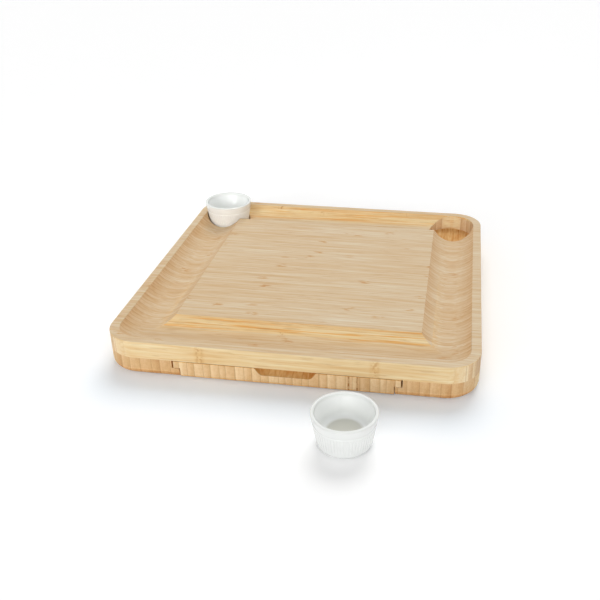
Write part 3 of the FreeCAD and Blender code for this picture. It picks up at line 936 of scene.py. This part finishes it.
def cup_tree():
    """A turned cup from a section of its own points, with flutes round its wall."""
    inputs = [("Section", "Geometry"), ("Steps Round", "Int"), ("Flutes", "Int")]
    inputs += [("Flute Depth", "Float"), ("Glaze", "Material")]
    net, take, made = new_tree("GeometryNodeTree", "turned cup", inputs, [("Cup", "Geometry")])
    grid, turn, spot, read = wrapped_grid(net, take["Section"], take["Steps Round"])
    radius, _, level = net.split(spot)

    # Round ribs with narrow grooves between them
    phase = net.times(turn, net.math("DIVIDE", take["Flutes"], 2))
    rib = net.math("ABSOLUTE", net.math("SINE", phase))
    groove = net.rest(net.math("POWER", rib, 0.8))
    radius = net.minus(radius, net.times(groove, take["Flute Depth"], read("fluted")))
    across = net.times(radius, net.math("COSINE", turn))
    back = net.times(radius, net.math("SINE", turn))
    cup = put_at(net, grid, net.join(across, back, level))
    kept = net.node("GeometryNodeStoreNamedAttribute", data_type="FLOAT", domain="POINT")
    cup = net.fill(kept, Geometry=cup, Name="greying", Value=read("greying"))
    net.fill(made, Cup=closed_shell(net, cup, take["Glaze"]))
    return net.tree


def grow(name, points, numbers, tree, **inputs):
    """Let a tree make its shape, as a plain mesh, from a line of points that hold named numbers."""
    piece = mesh_object(name, points, [], [(i, i + 1) for i in range(len(points) - 1)])
    for label, values in numbers.items():
        column = piece.data.attributes.new(label, "FLOAT", "POINT")
        column.data.foreach_set("value", values)
    change = piece.modifiers.new("shape", "NODES")
    change.node_group = tree
    for item in tree.interface.items_tree:
        key = item.name.replace(" ", "_")
        if item.item_type == "SOCKET" and item.in_out == "INPUT" and key in inputs:
            change[item.identifier] = inputs[key]
    return settle(piece)


def make_ramekin(node, tree, glaze):
    low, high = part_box(node)
    section = ramekin_section((high.x - low.x) / 2 / MM, (high.z - low.z) / MM)
    radii, levels, fluted, greying = zip(*section)
    points = [(r * MM, 0, z * MM) for r, z in zip(radii, levels)]
    numbers = {"fluted": fluted, "greying": greying}
    sizes = {"Steps_Round": 480, "Flutes": 60, "Flute_Depth": 0.35 * MM}
    cup = grow(f"porcelain_{node}", points, numbers, tree, Glaze=glaze, **sizes)
    middle = (low + high) / 2
    cup.data.transform(Matrix.Translation((middle.x, middle.y, low.z)))
    tidy_shell(cup)
    shade(cup, 50)
    return cup


# Tools

COLLAR_LENGTH = 7 * MM
TANG_HALF = 2.5 * MM
TANG_LENGTH = 38 * MM
BLADE_HALF_THICK = 0.8 * MM

# Half widths and half thicknesses of the handles and collars, and a handle's lengths, in mm
GRIP_WIDE = 5.75
GRIP_SWELL = 1.75
GRIP_WANE = 0.8
GRIP_THICK = 5.0
GRIP_BODY = 84.2
GRIP_END = 3.8
END_THINNING = 2.6
WIDEST_AT = 66
COLLAR_WIDE = 5.3
COLLAR_THICK = 4.4

# Half of each blade's plan as (distance from the collar, half width, corner round), in mm
BLADE_PLANS = {
    "fork": [(0, 3.2, 0), (8.4, 3.2, 20), (23.8, 8.5, 20), (60, 8.5, 6), (69, 4.2, 0)],
    "spreader": [(0, 3.2, 0), (8.4, 3.2, 16), (21, 10, 16), (61, 10, 6), (69, 3, 3)],
    "plane": [(0, 3.2, 0), (8.4, 3.2, 40), (34.5, 5.6, 60), (60, 11, 30), (69, 11, 2)],
    "point": [(0, 3.2, 0), (8.4, 3.2, 16), (26.2, 10, 14), (42.8, 8.4, 30), (69, 0.6, 0.5)],
}
GROUND_WIDTH = {"fork": 0.7, "spreader": 3.2, "plane": 2.4, "point": 4.0}
TINE_GAP = [(39, -3.3), (60, -3.3), (72, -3.9), (72, 3.9), (60, 3.3), (39, 3.3)]
TINE_GAP_ROUNDS = [3.2, 30, 0, 0, 30, 3.2]

# How a blade's edges turn from blunt to ground along its neck, as half thicknesses and lengths in mm
BLADE_THICK = BLADE_HALF_THICK / MM
BLUNT_EDGE = 0.6
SHARP_EDGE = 0.2
BLUNT_BEVEL = 0.3
NECK_START = 10
NECK_LENGTH = 12
TANG_EDGE = (0.1, 0.7, 0.78)


def grip_tree():
    """A grip along X through a line of points that hold their own half width and half thickness."""
    inputs = [("Spine", "Geometry"), ("Steps Round", "Int")]
    inputs += [("Squareness", "Float"), ("Finish", "Material")]
    net, take, made = new_tree("GeometryNodeTree", "lofted grip", inputs, [("Grip", "Geometry")])
    grid, turn, middle, read = wrapped_grid(net, take["Spine"], take["Steps Round"])

    def squared(wave, reach):
        """A wave whose middle is flattened, so that a round section turns into a squarish one."""
        size = net.math("POWER", net.math("ABSOLUTE", wave), take["Squareness"])
        return net.times(size, net.math("SIGN", wave), reach)

    across = squared(net.math("COSINE", turn), read("half_width"))
    rise = squared(net.math("SINE", turn), read("half_thick"))
    spot = net.vector("ADD", middle, net.join(0.0, across, rise))
    grip = put_at(net, grid, spot)
    net.fill(made, Grip=closed_shell(net, grip, take["Finish"]))
    return net.tree


def make_grip(name, node, rows, squareness, tree, finish, slot_end):
    """A handle or collar in its node's place, with the slot that holds the blade's tang.

    Its rows are (distance, half width, half thickness), in mm."""
    low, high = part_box(node)
    middle = (low + high) / 2
    distances, widths, thicknesses = zip(*rows)
    points = [(low.x + s * MM, middle.y, middle.z) for s in distances]
    numbers = {"half_width": [w * MM for w in widths], "half_thick": [t * MM for t in thicknesses]}
    grip = grow(name, points, numbers, tree, Steps_Round=64, Squareness=squareness, Finish=finish)
    tidy_shell(grip)
    signs = [(-1, -1), (1, -1), (1, 1), (-1, 1)]
    slot = [(middle.y + y * TANG_HALF, middle.z + z * BLADE_HALF_THICK) for y, z in signs]
    cut(grip, [prism("slot_cutter", slot, low.x - 1 * MM, low.x + slot_end, axis="x")])
    return smooth(grip, 40)


def eased_end(width, thick, soft):
    """Rows that close a grip's front end with a small round."""
    steps = quarter_round(soft, 3)
    return [(0, 0, 0)] + [(forward, width - back, thick - back) for forward, back in steps]


def handle_rows():
    """A handle that swells towards its back and ends in a flattened round."""
    rows = eased_end(GRIP_WIDE, GRIP_THICK, 0.5)
    steps = 24
    for i in range(1, steps + 1):
        s = GRIP_BODY * i / steps
        swell = math.sin(math.pi / 2 * min(1.0, s / WIDEST_AT))
        past = max(0.0, s - WIDEST_AT) / (GRIP_BODY - WIDEST_AT)
        rows.append((s, GRIP_WIDE + GRIP_SWELL * swell - GRIP_WANE * past**2, GRIP_THICK))
    for inset, back in quarter_round(GRIP_END, 6)[1:]:
        wide = GRIP_WIDE + GRIP_SWELL - GRIP_WANE - inset
        thick = GRIP_THICK - inset * END_THINNING / GRIP_END
        rows.append((GRIP_BODY + GRIP_END - back, wide, thick))
    return rows + [(GRIP_BODY + GRIP_END, 0, 0)]


def collar_rows():
    front = eased_end(COLLAR_WIDE, COLLAR_THICK, 0.4)
    back = [(COLLAR_LENGTH / MM - s, wide, thick) for s, wide, thick in reversed(front)]
    return front + back


def blade_half_width(tool):
    """The blade's half outline as (distance, half width) points with rounded corners, in mm."""
    plan = BLADE_PLANS[tool]
    end = plan[-1][0]
    corners = [(0, 0), *[(s, wide) for s, wide, _ in plan], (end, 0)]
    radii = [0, *[soft for _, _, soft in plan], 0]
    return round_corners(corners, radii)[1:-1]


def make_blade(tool):
    """A steel blade with ground edges and a plain tang, as sections along X."""
    low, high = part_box(f"{tool}_blade")
    middle = (low + high) / 2
    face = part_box(f"{tool}_collar")[0].x
    distances, widths = zip(*blade_half_width(tool))
    end = distances[-1]
    ground = GROUND_WIDTH[tool]

    def section(s, wide, bevel, edge, thick):
        inner = max(wide - bevel, 0.35 * wide)
        half = [(wide, edge), (inner, thick), (-inner, thick), (-wide, edge)]
        half += [(-y, -z) for y, z in half]
        x = face - s * MM
        return [Vector((x, middle.y + y * MM, middle.z + z * MM)) for y, z in half]

    tang = TANG_HALF / MM - 0.02
    rings = [section(-(TANG_LENGTH + COLLAR_LENGTH) / MM, tang, *TANG_EDGE)]
    rings.append(section(0, tang, *TANG_EDGE))
    stops = [end - ground * share for share in (1.0, 0.75, 0.5, 0.25)]
    for s in sorted({*distances, *stops}):
        wide = np.interp(s, distances, widths)
        shaped = min(1.0, max(0.0, (s - NECK_START) / NECK_LENGTH))
        bevel = BLUNT_BEVEL + (ground - BLUNT_BEVEL) * shaped
        edge = BLUNT_EDGE + (SHARP_EDGE - BLUNT_EDGE) * shaped
        thick = edge + (BLADE_THICK - edge) * min(1.0, (end - s) / ground)
        rings.append(section(s, wide, bevel, edge, thick))
    blade = loft(f"steel_{tool}_blade", rings)
    if tool == "fork":
        gap = round_corners(TINE_GAP, TINE_GAP_ROUNDS)
        plan = [(face - s * MM, middle.y + y * MM) for s, y in gap]
        cut(blade, [prism("gap_cutter", plan, low.z - 1 * MM, high.z + 1 * MM)])
    return smooth(blade, 24)


# Magnets

def make_magnets(node):
    """Two nickel discs with eased rims, side by side in one node."""
    low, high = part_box(node)
    shell = bmesh.new()
    for sign in (-1, 1):
        centre = (sign * MAGNET_SPREAD, MAGNET_LEVEL)
        rim = [(s, circle(centre, MAGNET_RADIUS - back, 64)) for s, back in quarter_round(0.3 * MM, 2)]
        places = [(low.y + s, plan) for s, plan in rim]
        places += [(high.y - s, plan) for s, plan in reversed(rim)]
        disc = loft("disc", [[Vector((x, y, z)) for x, z in plan] for y, plan in places])
        shell.from_mesh(disc.data)
        bpy.data.objects.remove(disc)
    magnets = mesh_object(f"nickel_{node}", [], [])
    close_up(shell, magnets)
    return smooth(magnets)


# Camera, light and floor

CAMERA_PLACE = Vector((0.13136, -0.70641, 0.39442))
CAMERA_YAW = math.radians(-8.419)
CAMERA_PITCH = math.radians(29.016)
CAMERA_ROLL = math.radians(0.042)
CAMERA_LENS = 46.9985
CAMERA_SHIFT = -0.07356


def make_camera():
    data = bpy.data.cameras.new("camera")
    data.sensor_width = 36
    data.lens = CAMERA_LENS
    data.shift_x = CAMERA_SHIFT
    data.clip_start = 0.01
    data.clip_end = 50
    camera = set_out("camera", data)
    pose = Matrix.Translation(CAMERA_PLACE)
    for angle, axis in (-CAMERA_YAW, "Z"), (math.pi / 2 - CAMERA_PITCH, "X"), (CAMERA_ROLL, "Z"):
        pose @= Matrix.Rotation(angle, 4, axis)
    camera.matrix_world = pose
    bpy.context.scene.camera = camera


def hang(name, data, away, mirrored):
    """A lamp that shines back along a direction, and shows in gloss only if it is mirrored."""
    lamp = set_out(name, data)
    lamp.visible_glossy = mirrored
    lamp.rotation_euler = (-away).to_track_quat("-Z", "Y").to_euler()
    return lamp


def area_light(name, place, target, width, height, level, spread=180, mirrored=True):
    """A rectangular lamp aimed at a point, with the light level that it gives there."""
    away = Vector(place) - Vector(target)
    data = bpy.data.lights.new(name, "AREA")
    data.shape = "RECTANGLE"
    data.size = width
    data.size_y = height
    data.energy = level * math.pi**2 * away.length_squared
    data.spread = math.radians(spread)
    hang(name, data, away, mirrored).location = place


def far_light(name, azimuth, elevation, spread, level, mirrored=True):
    """A far soft light, with the light level that it gives on a face turned towards it."""
    data = bpy.data.lights.new(name, "SUN")
    data.angle = math.radians(spread)
    data.energy = level * math.pi
    side, rise = math.radians(azimuth), math.radians(elevation)
    flat = Vector((math.sin(side), math.cos(side), 0)) * math.cos(rise)
    hang(name, data, flat + Vector((0, 0, math.sin(rise))), mirrored)


def show_two_ways(net, lighting, seen, output):
    """One shader for the light it gives, another for rays from the camera, gloss and clear surfaces."""
    rays = net.node("ShaderNodeLightPath").outputs
    direct = net.math("MAXIMUM", rays["Is Camera Ray"], rays["Is Glossy Ray"])
    direct = net.math("MAXIMUM", direct, rays["Is Transmission Ray"])
    net.fill(output, Surface=net.give("ShaderNodeMixShader", direct, lighting, seen))


def make_world(strength):
    world = bpy.data.worlds.new("studio")
    bpy.context.scene.world = world
    net = emptied(world)
    sky = net.give("ShaderNodeBackground", WHITE, strength)
    page = net.give("ShaderNodeBackground", WHITE, 1.0)
    show_two_ways(net, sky, page, net.node("ShaderNodeOutputWorld"))


# Painted cool colour and glow for the floor in front of the board, against the warm light bounced off
# the wood.
FLOOR_NEAR = (0.90, 0.94, 0.98, 1.0)
GLOW_NEAR = (0.62, 0.79, 0.95, 1.0)


def make_floor():
    """A white floor that is painted cooler, with a bluish glow, in front of the board: a painted light
    against the warm light off the wood in its shadow.
    """
    far = 6.0
    corners = [(-far, -far, 0), (far, -far, 0), (far, far, 0), (-far, far, 0)]
    floor = mesh_object("floor", corners, [(0, 1, 2, 3)])
    material = bpy.data.materials.new("white_floor")
    net = emptied(material)
    across, back, _ = net.split(net.node("ShaderNodeTexCoord").outputs["Object"])
    beyond_x = net.minus(net.math("ABSOLUTE", across), HALF - CORNER_ROUND)
    beyond_x = net.math("MAXIMUM", beyond_x, 0.0)
    beyond_y = net.plus(back, HALF)
    squares = [net.times(way, way) for way in (beyond_x, beyond_y)]
    away = net.math("SQRT", net.plus(*squares))
    near = net.step(away, 20 * MM, 90 * MM, 1.0, 0.0)
    cloth = net.give("ShaderNodeBsdfDiffuse", net.mix(near, WHITE, FLOOR_NEAR))
    strength = net.step(near, 0.0, 1.0, 0.08, 0.09)
    glow = net.give("ShaderNodeEmission", net.mix(near, WHITE, GLOW_NEAR), strength)
    seen = net.give("ShaderNodeAddShader", cloth, glow)
    felt = net.give("ShaderNodeBsdfDiffuse", (0.8, 0.8, 0.8, 1.0))
    show_two_ways(net, felt, seen, net.node("ShaderNodeOutputMaterial"))
    floor.data.materials.append(material)


def carry(piece, finish, body, node):
    """Give a piece its finish, and put it on its body in its node's stead."""
    piece.data.materials.clear()
    piece.data.materials.append(finish)
    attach(piece, body)
    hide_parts(node)


def main():
    bpy.context.scene.view_settings.view_transform = "Standard"
    make_camera()
    make_world(0.39)
    far_light("back_light", 2, 48, 40, 0.50, mirrored=False)
    far_light("front_light", 182, 26, 50, 0.33)
    front_cup = (0.061, -0.23, 0.025)
    area_light("front_right_light", (1.53, -1.44, 0.60), front_cup, 0.5, 0.2, 0.09)
    area_light("front_left_light", (-1.01, -1.79, 0.60), front_cup, 0.5, 0.2, 0.09)
    left_cup, high_left = (-0.131, 0.131, 0.040), (-0.60, -1.35, 0.42)
    area_light("left_cup_light", high_left, left_cup, 0.3, 0.3, 0.0017, spread=16, mirrored=False)
    make_floor()

    top = bamboo("bamboo_top", Strip_Width=5.5 * MM, Seed=3.0, Edge_Strip=-0.160, Edge_Knot=-0.075)
    base_end = srgb(217, 178, 128)
    base = bamboo(
        "bamboo_base", "y", Strip_Width=9.05 * MM, Strip_Shift=0.31, Seed=11.0,
        Tone_Spread=0.07, Grain=2.2, End_Colour=base_end, Corner_Colour=base_end,
    )
    # The drawer's Routed Tint rises above one in red: where it is full, in the shaded scoop and on the
    # eased top front edge, it is a painted warm light.
    drawer = bamboo(
        "bamboo_drawer", "y", Strip_Width=7.3 * MM, Seed=23.0, Dotted_Place=58.7 * MM,
        Tone_Spread=0.07, End_Colour=srgb(231, 198, 151), Routed_Tint=(1.08, 0.83, 0.46, 1.0),
    )
    handle = bamboo("bamboo_grip", Strip_Width=30 * MM, Strip_Shift=0.5, Seed=5.0)
    glaze = porcelain()
    steel = metal("brushed_steel", (0.50, 0.50, 0.51, 1.0), (40, 2500, 2500), 0.25, 0.42)
    nickel = metal("nickel", (0.70, 0.69, 0.66, 1.0), (900, 900, 900), 0.18, 0.28)

    carry(make_top_slab(), top, "board", "top_slab")
    carry(make_base_slab(), base, "board", "base_slab")
    carry(make_drawer(), drawer, "drawer", "drawer_tray")
    cups, grips = cup_tree(), grip_tree()
    for node in ("ramekin_left", "ramekin_front"):
        carry(make_ramekin(node, cups, glaze), glaze, node, node)
    for tool in TOOLS:
        carry(make_blade(tool), steel, "drawer", f"{tool}_blade")
        node = f"{tool}_collar"
        piece = make_grip(
            f"steel_{node}", node, collar_rows(), 0.5, grips, steel, COLLAR_LENGTH + 1 * MM
        )
        carry(piece, steel, "drawer", node)
        node = f"{tool}_handle"
        piece = make_grip(f"bamboo_{node}", node, handle_rows(), 0.66, grips, handle, TANG_LENGTH)
        carry(piece, handle, "drawer", node)
    for node, body in (("base_magnets", "board"), ("drawer_magnets", "drawer")):
        carry(make_magnets(node), nickel, body, node)


main()
